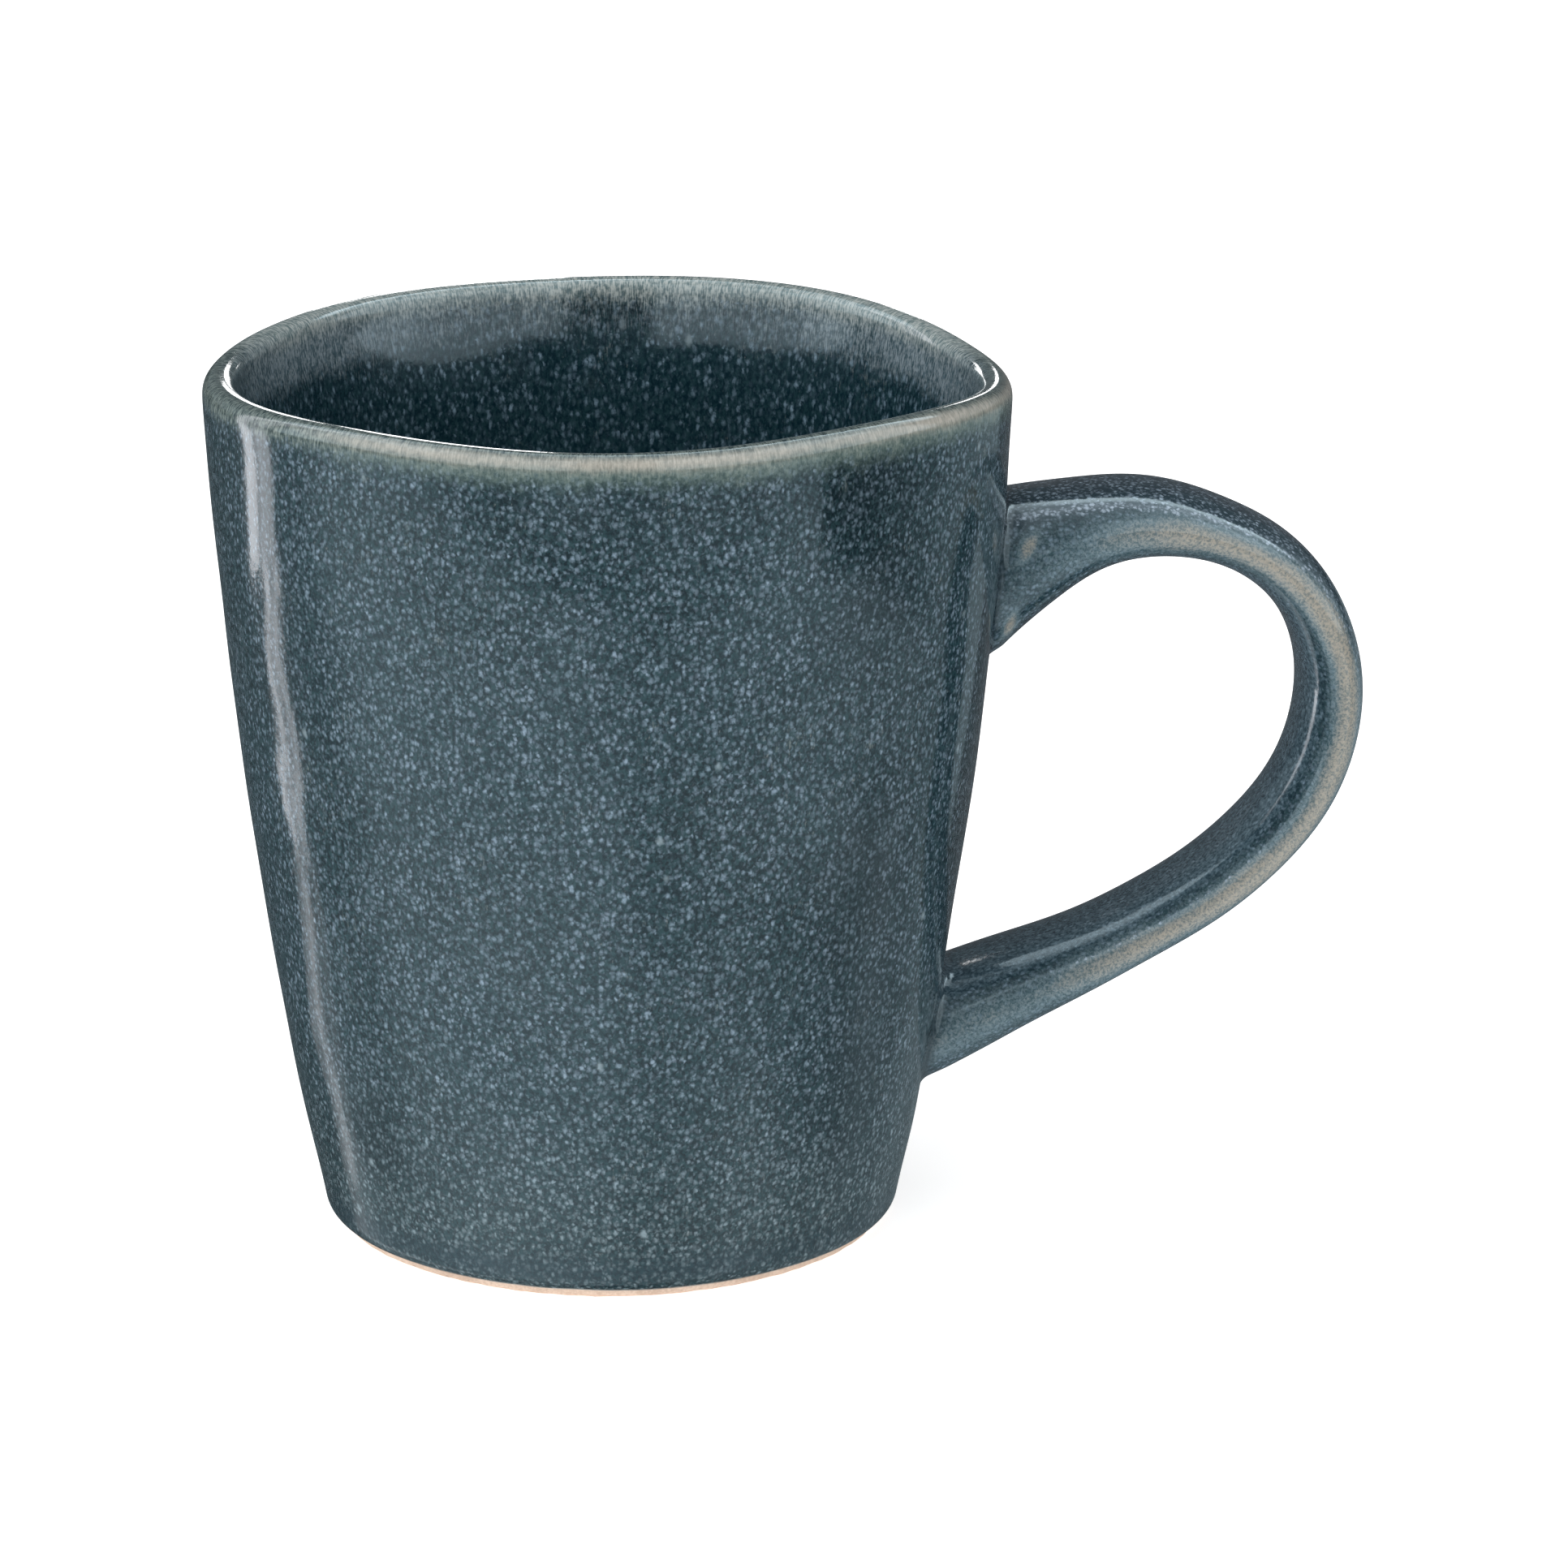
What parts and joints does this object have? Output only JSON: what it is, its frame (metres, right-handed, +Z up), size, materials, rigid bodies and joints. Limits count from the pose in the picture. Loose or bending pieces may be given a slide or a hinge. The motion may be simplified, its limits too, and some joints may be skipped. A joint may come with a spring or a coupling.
{
  "type": "ceramic mug",
  "caption": "Hand-made stoneware mug with tapering wall, rounded lip, strap handle and speckled blue reactive glaze.",
  "frame": {"origin": "middle of the mug's footprint, handle included, on the surface that it stands on; the cup's own axis is 19.9 mm towards -X of it", "axes": "+X from the cup towards the handle, +Z up along the cup's axis, +Y to the left of a person who looks along +X"},
  "size_m": [0.1267, 0.0889, 0.0967],
  "materials": {
    "bare_stoneware": "matte",
    "joint_slip": "matte",
    "outer_blue_glaze": "gloss",
    "liner_blue_glaze": "gloss"
  },
  "bodies": {
    "root": {"cup_body": "bare_stoneware", "handle": "bare_stoneware", "upper_slip_joint": "joint_slip", "lower_slip_joint": "joint_slip", "outer_glaze": "outer_blue_glaze", "handle_glaze": "outer_blue_glaze", "foot_recess_glaze": "outer_blue_glaze", "liner_glaze": "liner_blue_glaze"}
  },
  "joints": []
}
